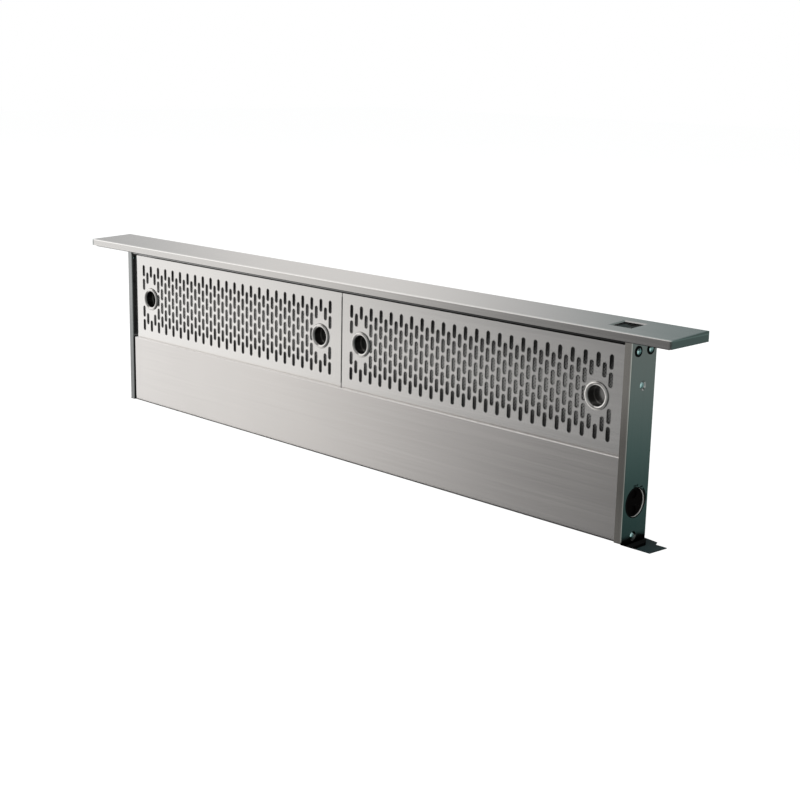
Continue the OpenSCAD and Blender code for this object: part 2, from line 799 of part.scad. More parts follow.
// Speed control: recess ring, dial ring, rotary control and knob, on an axis along X
module on_knob_axis(x) { translate([x, knob_y, knob_h]) rotate([0, 90, 0]) children(); }
module knob_ring() {
    color("#c8c8c4") on_knob_axis(half_w - knob_recess) difference() {
        cylinder(d = ring_out_d, h = knob_recess);
        translate([0, 0, ring_wall]) cylinder(d = ring_in_d, h = knob_recess + over);
        translate([0, 0, -over]) cylinder(d = pot_bush_d + 2 * snug, h = ring_wall + 2 * over);
    }
}
module dial_ring() {
    color("#0f1011") on_knob_axis(half_w + snug / 2) difference() {
        cylinder(d = ring_out_d + 2 * snug + 2 * dial_w, h = dial_t);
        translate([0, 0, -over]) cylinder(d = ring_in_d + 2 * snug, h = dial_t + 2 * over);
    }
}
module speed_control() {
    color("#2c2d2f") on_knob_axis(half_w - knob_recess) difference() {
        union() {
            translate([0, 0, -pot_l - snug]) cylinder(d = pot_d, h = pot_l);
            translate([0, 0, -pot_l / 2]) cylinder(d = pot_bush_d, h = pot_l / 2 + ring_wall);
        }
        translate([0, 0, -pot_l / 2]) cylinder(d = knob_shaft_d + 2 * run, h = pot_l);
    }
}
module speed_knob() {
    color("#050505") on_knob_axis(half_w - knob_sunk - knob_l) {
        difference() {
            cylinder(d = knob_d, h = knob_l);
            for (i = [0 : knob_grip_n - 1]) rotate([0, 0, i * 360 / knob_grip_n])
                translate([knob_d / 2 + knob_flute_d / 4, 0, knob_l / 2])
                    cylinder(d = knob_flute_d, h = knob_l);
            for (s = [-1, 1]) translate([s * (knob_d / 4 + knob_grip_w / 4), 0, knob_l - knob_grip_h])
                cylinder(d = knob_d / 2 - knob_grip_w, h = knob_grip_h + over);
        }
        translate([0, 0, -knob_shaft_l / 2]) cylinder(d = knob_shaft_d, h = knob_shaft_l / 2 + over);
    }
}

// Housing: flat back sheet, channel-shaped end walls, channel-shaped floor, and the front panel
module back_sheet() {
    color("#9a9c9c") translate([-out_half, in_y1, floor_z]) cube([2 * out_half, shell_t, mouth_z - floor_z]);
}
module end_wall() {
    x0 = in_half - rim_w;
    translate([0, 0, floor_z]) linear_extrude(mouth_z - floor_z) difference() {
        translate([x0, in_y0]) square([out_half - x0, wall_y1 - in_y0]);
        translate([x0 - over, in_y0 + shell_t]) square([rim_w + over, wall_y1 - in_y0 - 2 * shell_t]);
    }
}
module end_wall_right() { color("#a2a4a4") end_wall(); }
module end_wall_left() { color("#a2a4a4") at_left() end_wall(); }
module housing_floor() {
    half = in_half - snug;
    edge = shell_t + snug;
    color("#949696") difference() {
        translate([-half, in_y0, floor_z]) cube([2 * half, wall_y1 - in_y0, rim_w]);
        translate([-half - over, in_y0 + shell_t, floor_z + shell_t])
            cube([2 * (half + over), wall_y1 - in_y0 - 2 * shell_t, rim_w]);
        for (s = [-1, 1], y = [in_y0 - over, wall_y1 - edge])
            translate([s * in_half - rim_w - snug, y, floor_z - over])
                cube([2 * (rim_w + snug), edge + over, rim_w + 2 * over]);
    }
}
module collar_axis(y) { translate([-collar_off, y, collar_z]) rotate([90, 0, 0]) children(); }
module panel_screw_places() {
    reach = collar_side / 2 + floor_screw_gap;
    x = out_half - panel_screw_in;
    for (s = [-1, 1], share = panel_screw_share)
        translate([s * x, out_y0, mouth_z - share * (mouth_z - floor_z)]) children();
    for (x = [-collar_off - reach, -collar_off + reach, for (share = floor_screw_share) share * out_half])
        translate([x, out_y0, floor_z + panel_screw_in]) children();
}
module front_panel() {
    color("#a3a5a5") difference() {
        translate([-out_half, out_y0, floor_z])
            cube([2 * out_half, shell_t - snug / 2, mouth_z - floor_z]);
        collar_axis(out_y0 + shell_t + over) cylinder(d = collar_hole_d, h = shell_t + 2 * over);
    }
}
module housing_screws() {
    color("#c3c5c5") panel_screw_places() rotate([90, 0, 0]) translate([0, 0, snug / 2])
        screw_head(panel_screw_d, panel_screw_h);
}
module mouth_seals() {
    t = mouth_gap - slip - snug;
    x0 = half_w + washer_t + screw_head_h + slip;
    y0 = in_y0 + shell_t + snug;
    color("#151617") translate([0, 0, seal_top - seal_h]) {
        for (y = [in_y0 + snug, riser_d + slip]) translate([-half_w, y, 0]) cube([riser_w, t, seal_h]);
        both_ends() translate([x0, y0, 0]) cube([in_half - snug - x0, wall_y1 - shell_t - snug - y0, seal_h]);
    }
}

// Dark plate at the right foot, in two leaves with a notch, on a tab that is screwed to the housing
module end_plate() {
    color("#23282a") {
        linear_extrude(end_plate_t) polygon([
            [leaf_x0, leaf_y0], [leaf_x1, leaf_y0], [leaf_x1 + leaf_skew, leaf_y1],
            [back_leaf_x1 + leaf_skew, leaf_y1], [back_leaf_x1, back_leaf_y1],
            [back_leaf_x0, back_leaf_y1 + back_leaf_skew], [leaf_x0, leaf_slant_y0]]);
        translate([out_half + snug, end_tab_y0, -end_tab_h])
            cube([end_tab_t, end_tab_w, end_tab_h + end_plate_t / 2]);
    }
}

// Guide rail: a channel with lips, on the end wall of the housing
module guide_rail() {
    x0 = in_half - rail_depth;
    translate([0, rail_y, rail_bottom]) linear_extrude(rail_top - rail_bottom) difference() {
        translate([x0, -rail_w / 2]) square([rail_depth - snug, rail_w]);
        translate([x0 + rail_lip, -rail_w / 2 + rail_lip])
            square([rail_depth - rail_lip - rail_web, rail_w - 2 * rail_lip]);
        translate([x0 - over, -rail_slot / 2]) square([rail_lip + 2 * over, rail_slot]);
    }
}
module guide_rail_right() { color("#b4b6b8") guide_rail(); }
module guide_rail_left() { color("#b4b6b8") at_left() guide_rail(); }

// Limit switches on the left end wall, one at each end of the travel
module limit_switches() {
    color("#20242b") at_left() for (z = [riser_bottom + flag_h / 2, riser_bottom - travel - limit_box[2] / 2])
        translate([in_half - snug - limit_box[0], limit_y0, z]) {
            cube(limit_box);
            translate([-lever_t, lever_t, lever_t])
                cube([lever_t + snug, lever_t, limit_box[2] - 2 * lever_t]);
        }
}

// Lift: screw, bearing, bracket, gearbox and motor
module on_screw_axis(z) { translate([0, screw_back, z]) children(); }
module lead_screw() {
    color("#c0c3c5") {
        on_screw_axis(screw_bottom) cylinder(d = screw_d, h = screw_top - screw_bottom);
        on_screw_axis(screw_top) cylinder(d = screw_stop_d, h = screw_stop_h);
        on_screw_axis(screw_bottom - journal_l) cylinder(d = journal_d, h = journal_l + over);
    }
}
module thrust_bearing() {
    color("#d0d2d4") on_screw_axis(bearing_z0) difference() {
        cylinder(d = bearing_d, h = bearing_h);
        translate([0, 0, -over]) cylinder(d = journal_d + 2 * run, h = bearing_h + 2 * over);
    }
}
module motor_bracket() {
    d = in_y1 - snug - plate_t;
    color("#7f8284") difference() {
        union() {
            translate([bracket_x0, screw_back - gearbox_d / 2, bracket_z0])
                cube([bracket_x1 - bracket_x0, in_y1 - snug - screw_back + gearbox_d / 2, plate_t]);
            translate([bracket_x0, d, bracket_z0]) cube([bracket_x1 - bracket_x0, plate_t, bracket_flange_h]);
        }
        on_screw_axis(bracket_z0 - over) cylinder(d = journal_d + 2 * over, h = plate_t + 2 * over);
    }
}
module gearbox() {
    color("#3d4145") difference() {
        translate([gearbox_x0, screw_back - gearbox_d / 2, gearbox_z0])
            linear_extrude(gearbox_h) rounded(gearbox_w, gearbox_d, gearbox_r);
        on_screw_axis(screw_bottom - journal_l - over) cylinder(d = journal_d + 2 * run, h = gearbox_h);
    }
}
module lift_motor() {
    color("#4a4e52") translate([motor_x, screw_back, gearbox_z0 - snug]) mirror([0, 0, 1]) {
        cylinder(d = motor_neck_d, h = motor_neck_l + over);
        translate([0, 0, motor_neck_l]) cylinder(d = motor_d, h = motor_l - motor_cap_l);
        translate([0, 0, motor_neck_l]) cylinder(d = motor_d - motor_cap_l / 2, h = motor_l);
    }
}

// Duct collar with its square flange
module duct_collar() {
    color("#a8aaaa") difference() {
        union() {
            translate([-collar_off - collar_side / 2, out_y0 - collar_t - snug, floor_z + collar_rim])
                cube([collar_side, collar_t, collar_z + collar_side / 2 - floor_z - collar_rim]);
            collar_axis(out_y0 - snug) cylinder(d = collar_d, h = collar_l, $fn = 96);
        }
        collar_axis(out_y0 + over) cylinder(d = collar_hole_d, h = collar_l + 3 * over, $fn = 96);
    }
}

// Wiring box on the front panel, its cover, and the board in it
module wiring_box() {
    color("#9b9d9e") difference() {
        translate([box_x0, box_y0, box_z0]) cube([box_w, box_d, box_h]);
        translate([box_x0 + box_t, box_y0 - over, box_z0 + box_t])
            cube([box_w - 2 * box_t, box_d - box_t + over, box_h - 2 * box_t]);
        translate([box_x0 + box_w - box_t - over, box_y0 + inlet_in, box_z0 + inlet_in]) rotate([0, 90, 0])
            cylinder(d = inlet_d, h = box_t + 2 * over);
    }
}
module wiring_box_cover() {
    color("#a9abab") translate([box_x0, box_y0 - snug - box_t, box_z0]) cube([box_w, box_t, box_h]);
}
module control_board() {
    x0 = box_x0 + board_inset;
    z0 = box_z0 + box_h / 2;
    y1 = box_y1 - box_t - snug - board_gap;
    h = box_h / 2 - board_inset;
    w = box_w - 2 * board_inset;
    color("#2f5b45") {
        translate([x0, y1 - board_t, z0]) cube([w, board_t, h]);
        for (x = [standoff_d, w - standoff_d], z = [standoff_d, h - standoff_d])
            translate([x0 + x, y1 - board_t / 2, z0 + z]) rotate([-90, 0, 0])
                cylinder(d = standoff_d, h = board_gap + board_t / 2);
        for (i = [0 : relay_count - 1])
            translate([x0 + board_inset + i * relay_gap, y1 - board_t / 2 - relay_box[1], z0 + board_inset])
                cube(relay_box);
    }
}

// Brackets under the worktop and legs to the cabinet floor
module counter_bracket() {
    x0 = out_half + snug;
    y0 = (riser_d - bracket_d) / 2;
    difference() {
        union() {
            translate([x0, y0, -worktop_t - bracket_drop]) cube([bracket_t, bracket_d, bracket_drop]);
            translate([x0, y0, -worktop_t - bracket_t]) cube([bracket_reach, bracket_d, bracket_t]);
        }
        for (s = [-1, 1]) translate([bolt_x, riser_d / 2 + s * bolt_dy / 2, -worktop_t - bracket_t - over])
            rotate([0, 0, 90]) linear_extrude(bracket_t + 2 * over) slot(bolt_slot_w, bolt_slot_l);
    }
}
module counter_bracket_right() { color("#8d8f90") counter_bracket(); }
module counter_bracket_left() { color("#8d8f90") at_left() counter_bracket(); }
module support_leg() {
    x0 = out_half + snug;
    y0 = (riser_d - leg_d) / 2;
    foot_z = floor_z - leg_drop;
    difference() {
        union() {
            translate([x0, y0, foot_z]) cube([bracket_t, leg_d, leg_drop + leg_overlap]);
            translate([x0, y0, foot_z]) cube([bracket_reach, leg_d, bracket_t]);
        }
        translate([bolt_x, riser_d / 2, foot_z - over]) cylinder(d = leg_hole_d, h = bracket_t + 2 * over);
        translate([x0 - over, riser_d / 2, floor_z + leg_overlap / 2]) along(bracket_t + 2 * over)
            slot(leg_slot_w, leg_slot_l);
    }
}
module support_leg_right() { color("#8d8f90") support_leg(); }
module support_leg_left() { color("#8d8f90") at_left() support_leg(); }
module bracket_screws() {
    x0 = out_half + 2 * snug + bracket_t;
    color("#c3c5c5") both_ends() for (s = [-1, 1])
        translate([x0, riser_d / 2 + s * bolt_dy / 2, -worktop_t - bracket_drop / 2]) rotate([0, 90, 0])
            screw_head(panel_screw_d, panel_screw_h);
}

cap();
cap_base();
cap_gasket();
header_rail();
side_panel_left();
side_panel_right();
lower_front_panel();
rear_panel();
filter_seat();
holding_magnets();
crosshead();
lift_nut();
slide_shoe_left();
slide_shoe_right();
side_screws();
screw_washers();
switch_body();
switch_terminals();
rocker();
knob_ring();
dial_ring();
speed_control();
speed_knob();
filter_cover_left();
filter_cover_right();
filter_mesh_left();
filter_mesh_right();
filter_frame_left();
filter_frame_right();
finger_cups_left();
finger_cups_right();
back_sheet();
end_wall_left();
end_wall_right();
housing_floor();
front_panel();
housing_screws();
mouth_seals();
end_plate();
guide_rail_left();
guide_rail_right();
lead_screw();
thrust_bearing();
motor_bracket();
gearbox();
lift_motor();
limit_switches();
duct_collar();
wiring_box();
wiring_box_cover();
control_board();
counter_bracket_left();
counter_bracket_right();
support_leg_left();
support_leg_right();
bracket_screws();
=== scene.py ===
import math

import bmesh
import bpy
from mathutils import Matrix, Vector


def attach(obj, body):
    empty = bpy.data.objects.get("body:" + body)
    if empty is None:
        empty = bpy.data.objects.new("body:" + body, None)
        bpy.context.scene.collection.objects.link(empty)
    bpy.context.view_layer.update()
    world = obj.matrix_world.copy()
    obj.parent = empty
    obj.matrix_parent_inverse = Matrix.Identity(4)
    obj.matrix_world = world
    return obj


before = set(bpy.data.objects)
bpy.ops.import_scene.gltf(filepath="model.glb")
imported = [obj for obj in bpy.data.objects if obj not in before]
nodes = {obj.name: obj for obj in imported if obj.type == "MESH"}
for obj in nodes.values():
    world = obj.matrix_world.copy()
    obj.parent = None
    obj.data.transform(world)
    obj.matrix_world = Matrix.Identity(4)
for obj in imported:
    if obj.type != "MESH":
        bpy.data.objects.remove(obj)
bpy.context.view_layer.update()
scene = bpy.context.scene
scene.view_settings.view_transform = "Standard"
MM = 0.001
X, Y, Z = 0, 1, 2
WHITE = (1.0, 1.0, 1.0, 1.0)

# Sizes of the vent, in millimetres, as the CAD source has them
WEB_X = 402.5
KNOB_AT = (WEB_X, 20.5, 38.0)
COLLAR_AT = (-200.0, -3.3, -368.0)
COLLAR_R = 74.5
COLLAR_END = -48.3
BOX_X = (150.0, 290.0)
BOX_Z = (-240.0, -140.0)
BOX_MID_Y = -23.3
BOX_COVER_Y = -44.6
HOUSING_X = 414.7
HOUSING_Z = (-450.0, -1.0)


# An empty node tree for a material or a world, with its output node
def blank_tree(owner, output):
    owner.use_nodes = True
    nt = owner.node_tree
    nt.nodes.clear()
    return nt, nt.nodes.new(output)


def new_material(name):
    material = bpy.data.materials.new(name)
    nt, out = blank_tree(material, "ShaderNodeOutputMaterial")
    bsdf = nt.nodes.new("ShaderNodeBsdfPrincipled")
    nt.links.new(bsdf.outputs["BSDF"], out.inputs["Surface"])
    return material, nt, bsdf


# Gives an input a value of its own, or links the output of another node to it
def feed(nt, socket, value):
    if isinstance(value, bpy.types.NodeSocket):
        nt.links.new(value, socket)
    else:
        socket.default_value = value


def add_node(nt, kind, inputs):
    node = nt.nodes.new(kind)
    for key, value in inputs.items():
        feed(nt, node.inputs[key], value)
    return node


def shader(nt, kind, inputs):
    return add_node(nt, kind, inputs).outputs[0]


def coords(nt, scale=(1, 1, 1), rotation=(0, 0, 0)):
    place = nt.nodes.new("ShaderNodeTexCoord").outputs["Object"]
    inputs = {"Vector": place, "Rotation": rotation, "Scale": scale}
    return add_node(nt, "ShaderNodeMapping", inputs).outputs[0]


def noise(nt, vector, scale, detail=3.0, rough=0.5):
    inputs = {"Vector": vector, "Scale": scale, "Detail": detail, "Roughness": rough}
    return add_node(nt, "ShaderNodeTexNoise", inputs).outputs["Fac"]


def split(nt, vector):
    return add_node(nt, "ShaderNodeSeparateXYZ", {0: vector}).outputs


def maths(nt, operation, a, b):
    node = add_node(nt, "ShaderNodeMath", {0: a, 1: b})
    node.operation = operation
    return node.outputs[0]


def linear(nt, value, factor, start):
    return maths(nt, "ADD", maths(nt, "MULTIPLY", value, factor), start)


# A tone or colour for each value from 0 to 1; a tone is one number and a colour has three
def ramp(nt, value, stops):
    node = add_node(nt, "ShaderNodeValToRGB", {0: value})
    elements = node.color_ramp.elements
    while len(elements) < len(stops):
        elements.new(0.5)
    for element, (position, colour) in zip(elements, stops):
        element.position = position
        element.color = (*colour, 1.0) if isinstance(colour, tuple) else (colour, colour, colour, 1.0)
    return node.outputs[0]


# The Mix node has other inputs for other kinds of data: these are the ones for colours
MIX_FACTOR, MIX_A, MIX_B = 0, 6, 7
MIX_RESULT = 2


def blended(nt, kind, factor, a, b):
    node = nt.nodes.new("ShaderNodeMix")
    node.data_type = "RGBA"
    node.blend_type = kind
    for index, value in ((MIX_FACTOR, factor), (MIX_A, a), (MIX_B, b)):
        feed(nt, node.inputs[index], value)
    return node.outputs[MIX_RESULT]


def multiplied(nt, a, b):
    return blended(nt, "MULTIPLY", 1.0, a, b)


def lighter(nt, a, b):
    return blended(nt, "LIGHTEN", 1.0, a, b)


def brightened(colour, factor):
    return tuple(max(0.0, min(1.0, value * factor)) for value in colour)


def bump(nt, bsdf, height, strength, distance):
    inputs = {"Strength": strength, "Distance": distance, "Height": height}
    feed(nt, bsdf.inputs["Normal"], add_node(nt, "ShaderNodeBump", inputs).outputs[0])


def dress(nt, bsdf, colour, roughness, metallic):
    for key, value in (("Base Color", colour), ("Roughness", roughness), ("Metallic", metallic)):
        feed(nt, bsdf.inputs[key], value)


# Painted light and shade: tone that changes along the axes of a piece's own box. Each layer has an axis and
# its stops from 0 to 1, and may have a second axis and stops: the lighter of the two then counts. A layer
# along
# RIGHT goes by how far the surface faces to the right.
RIGHT = "right"


def shaded(nt, colour, layers):
    if not layers:
        return colour
    texture = nt.nodes.new("ShaderNodeTexCoord")
    place = split(nt, texture.outputs["Generated"])
    for axis, stops, *second in layers:
        if axis == RIGHT:
            along = linear(nt, split(nt, texture.outputs["Normal"])[X], factor=0.5, start=0.5)
        else:
            along = place[axis]
        tone = ramp(nt, along, stops)
        if second:
            tone = lighter(nt, tone, ramp(nt, place[second[0]], second[1]))
        colour = multiplied(nt, colour, tone)
    return colour


# Punched edges: painted shade darkens the metal where it rolls over into a slot, but not along the top and
# the bottom. ROLL_FROM and ROLL_TO are cosines of the angle by which the rounded edge turns away from the
# face.
ROLL_SAMPLES = 8
ROLL_TONE = 0.25
ROLL_FROM, ROLL_TO = 0.88, 0.97
ROLL_SPARES = [(0.0, 1.0), (0.04, 1.0), (0.05, 0.0), (0.95, 0.0), (0.96, 1.0), (1.0, 1.0)]


def rolled_edge_shade(nt, colour, reach):
    rounded = add_node(nt, "ShaderNodeBevel", {"Radius": reach})
    rounded.samples = ROLL_SAMPLES
    flat = nt.nodes.new("ShaderNodeNewGeometry").outputs["Normal"]
    match = add_node(nt, "ShaderNodeVectorMath", {0: rounded.outputs[0], 1: flat})
    match.operation = "DOT_PRODUCT"
    rim = ramp(nt, match.outputs["Value"], [(ROLL_FROM, ROLL_TONE), (ROLL_TO, 1.0)])
    height = split(nt, nt.nodes.new("ShaderNodeTexCoord").outputs["Generated"])[Z]
    return multiplied(nt, colour, lighter(nt, rim, ramp(nt, height, ROLL_SPARES)))


# Brushed metal: fine and broad streaks along one axis, in the colour, the roughness and the relief, and
# clouds in the roughness. Each scale is given across the streaks and along them.
FINE_STREAKS = (900.0, 5.0)
BROAD_STREAKS = (120.0, 1.6)
FINE_SHARE, BROAD_SHARE = 0.65, 0.35
CLOUDS, CLOUD_DEPTH = 9.0, 0.06


def streaks(nt, scales, axis, detail, rough):
    across, along = scales
    scale = [along if i == axis else across for i in (X, Y, Z)]
    return noise(nt, coords(nt, scale), 1.0, detail, rough)


def brushed(name, base, rough, axis, streak=0.07, shade=None, rolled=0.0):
    material, nt, bsdf = new_material(name)
    fine = streaks(nt, FINE_STREAKS, axis, detail=4.0, rough=0.6)
    broad = streaks(nt, BROAD_STREAKS, axis, detail=2.0, rough=0.5)
    mix = linear(nt, fine, FINE_SHARE, maths(nt, "MULTIPLY", broad, BROAD_SHARE))
    colour = ramp(nt, mix, [(0.25, brightened(base, 1 - streak)), (0.75, brightened(base, 1 + streak))])
    colour = shaded(nt, colour, shade)
    if rolled:
        colour = rolled_edge_shade(nt, colour, rolled)
    cloud = maths(nt, "SUBTRACT", noise(nt, coords(nt), CLOUDS), 0.5)
    grained = linear(nt, mix, factor=0.16, start=rough - 0.08)
    dress(nt, bsdf, colour, linear(nt, cloud, CLOUD_DEPTH, grained), metallic=1.0)
    bump(nt, bsdf, mix, strength=0.12, distance=0.05 * MM)
    return material


# Zinc-coated sheet: faint crystals in the colour and the roughness. Where a painted shade is given, it dulls
# the metal as well.
ZINC = (0.56, 0.57, 0.57)
ZINC_ROUGH = 0.38
CRYSTALS = 110.0


def zinc(name, shade=None):
    material, nt, bsdf = new_material(name)
    cells = add_node(nt, "ShaderNodeTexVoronoi", {"Vector": coords(nt), "Scale": CRYSTALS})
    cell = add_node(nt, "ShaderNodeSeparateColor", {0: cells.outputs["Color"]}).outputs
    colour = ramp(nt, cell[0], [(0.0, brightened(ZINC, 0.86)), (1.0, brightened(ZINC, 1.1))])
    grain = noise(nt, coords(nt), scale=60.0)
    mix = linear(nt, cell[1], factor=0.14, start=maths(nt, "MULTIPLY", grain, 0.1))
    metallic = 1.0
    if shade:
        metallic = shaded(nt, WHITE, shade)
        feed(nt, bsdf.inputs["Specular IOR Level"], maths(nt, "MULTIPLY", metallic, 0.5))
    dress(nt, bsdf, shaded(nt, colour, shade), maths(nt, "ADD", mix, ZINC_ROUGH - 0.12), metallic)
    bump(nt, bsdf, grain, strength=0.06, distance=0.2 * MM)
    return material


# Turned, cast or drawn metal: fine noise only
def plain_metal(name, base, rough, shade=None):
    material, nt, bsdf = new_material(name)
    grain = noise(nt, coords(nt), scale=700.0)
    colour = ramp(nt, grain, [(0.3, brightened(base, 0.94)), (0.7, brightened(base, 1.04))])
    roughness = linear(nt, grain, factor=0.12, start=rough - 0.06)
    dress(nt, bsdf, shaded(nt, colour, shade), roughness, metallic=1.0)
    bump(nt, bsdf, grain, strength=0.08, distance=0.05 * MM)
    return material


# Plastic, rubber and paint: a moulded or sprayed surface with fine grain
def moulded(name, base, rough, grain=900.0, relief=0.2, vary=0.12, coat=0.0, specular=0.5, shade=None):
    material, nt, bsdf = new_material(name)
    fine = noise(nt, coords(nt), grain)
    broad = noise(nt, coords(nt), scale=40.0)
    colour = ramp(nt, broad, [(0.3, brightened(base, 1 - vary)), (0.7, brightened(base, 1 + vary))])
    roughness = linear(nt, fine, factor=0.15, start=rough - 0.07)
    dress(nt, bsdf, shaded(nt, colour, shade), roughness, metallic=0.0)
    bsdf.inputs["Specular IOR Level"].default_value = specular
    if coat:
        bsdf.inputs["Coat Weight"].default_value = coat
        bsdf.inputs["Coat Roughness"].default_value = 0.12
    bump(nt, bsdf, fine, relief, distance=0.08 * MM)
    return material


# Grease mesh: two sets of wires that cross
WIRES = 130.0
WIRE_TURNS = (45.0, -45.0)


def wire_mesh(name, base, shade):
    material, nt, bsdf = new_material(name)
    waves = []
    for turned in WIRE_TURNS:
        vector = coords(nt, rotation=(0, math.radians(turned), 0))
        inputs = {"Vector": vector, "Scale": WIRES, "Distortion": 0.6}
        waves.append(add_node(nt, "ShaderNodeTexWave", inputs).outputs["Fac"])
    wires = maths(nt, "MAXIMUM", waves[0], waves[1])
    colour = ramp(nt, wires, [(0.35, brightened(base, 0.12)), (0.8, base)])
    grain = noise(nt, coords(nt), scale=300.0)
    roughness = linear(nt, grain, factor=0.2, start=0.35)
    dress(nt, bsdf, shaded(nt, colour, shade), roughness, metallic=0.75)
    bump(nt, bsdf, wires, strength=0.9, distance=0.6 * MM)
    return material


# Cap: ends tinted and darkened as a painted teal reflection, a painted highlight along the front edge, and
# painted shade on the front face that darkens it to the right and fills a dark seam near each end
CAP_END_REFLECTION = (0.4, 0.49, 0.485)
CAP_SHADE = [
    (X, [(0.0, CAP_END_REFLECTION), (0.0004, CAP_END_REFLECTION), (0.0008, 1.0), (0.9992, 1.0), (0.9996, CAP_END_REFLECTION), (1.0, CAP_END_REFLECTION)]),
    (Z, [(0.0, 0.68), (0.655, 0.68), (0.67, 1.0), (0.77, 1.0), (0.785, 0.68), (1.0, 0.68)]),
    (X, [(0.0, 1.0), (0.6, 1.0), (0.72, 0.9), (0.97, 0.74), (1.0, 0.74)],
     Y, [(0.0, 0.0), (0.008, 0.0), (0.016, 1.0)]),
    (X, [(0.0, 1.0), (0.0004, 0.12), (0.0016, 0.12), (0.0018, 1.0),
         (0.9982, 1.0), (0.9984, 0.12), (0.9996, 0.12), (1.0, 1.0)],
     Y, [(0.0, 0.0), (0.0105, 0.0), (0.012, 1.0)]),
]

# Lower front panel: a painted highlight makes its ledge lighter than its face
PANEL_SHADE = [(Z, [(0.0, 0.72), (0.9968, 0.72), (0.9978, 1.0), (1.0, 1.0)])]

# Filter covers: painted shade behind the face, in the slots and on the returned edges, and painted shade
# that makes them a little darker to the top
COVER_SHADE = [
    (Y, [(0.0, 1.0), (0.002, 1.0), (0.008, 0.12), (1.0, 0.12)]),
    (Z, [(0.0, 1.0), (0.45, 0.99), (0.8, 0.93), (1.0, 0.92)]),
]

# Side panel: painted light and shade: darker to the foot, a web painted duller than the warm front strip and
# its bend, darker tones painted on the strip in its upper half, and a painted shadow that makes the web
# almost black below the worktop
WARM = (1.0, 0.965, 0.92)
SIDE_HEIGHT_SHADE = (Z, [(0.0, 0.62), (0.48, 0.66), (0.82, 1.0), (1.0, 1.0)])
SIDE_SHADE = [
    SIDE_HEIGHT_SHADE,
    (Y, [(0.0, WARM), (0.02, WARM), (0.05, 0.77), (1.0, 0.77)]),
    (Z, [(0.0, 1.0), (0.36, 1.0), (0.49, 0.755), (0.66, 0.66), (0.82, 0.874), (1.0, 0.874)],
     Y, [(0.0, 0.0), (0.03, 0.0), (0.05, 1.0), (1.0, 1.0)]),
    (Z, [(0.0, 0.1), (0.311, 0.1), (0.334, 1.0), (1.0, 1.0)],
     Y, [(0.0, 1.0), (0.03, 1.0), (0.05, 0.0), (1.0, 0.0)]),
]

# Finger cups: painted light and shade: a light rim and floor, a wall and back painted dark as shade, and
# painted shade where they face to the right
CUP_SHADE = [
    (Y, [(0.0, 1.0), (0.13, 1.0), (0.26, 0.26), (0.84, 0.2),
         (0.87, 1.0), (0.93, 1.0), (0.94, 0.2), (1.0, 0.2)]),
    (RIGHT, [(0.0, 1.0), (0.7, 1.0), (0.84, 0.3), (1.0, 0.15)]),
]

# Control ring: painted shade makes it near black on all but its outer face, which stays light
RING_SHADE = [(X, [(0.0, 0.02), (0.86, 0.02), (0.89, 0.6), (0.93, 1.0), (1.0, 1.0)])]

# Grease mesh: painted light and shade, lightest half-way up and dark at its edges
MESH_SHADE = [
    (Z, [(0.0, 0.1), (0.17, 0.16), (0.32, 0.7), (0.45, 1.0),
         (0.58, 1.0), (0.72, 0.55), (0.84, 0.1), (1.0, 0.05)]),
    (X, [(0.0, 0.5), (0.05, 0.55), (0.1, 1.0), (0.9, 1.0), (0.95, 0.55), (1.0, 0.5)]),
]

# Header rail: painted shade that makes it darker to the right
RAIL_SHADE = [(X, [(0.0, 1.0), (0.4, 0.7), (0.75, 0.2), (1.0, 0.08)])]

# Housing walls: painted shadow, near black, along the top round the mouth
MOUTH_SHADE = [(Z, [(0.0, 1.0), (0.962, 1.0), (0.968, 0.004), (1.0, 0.004)])]
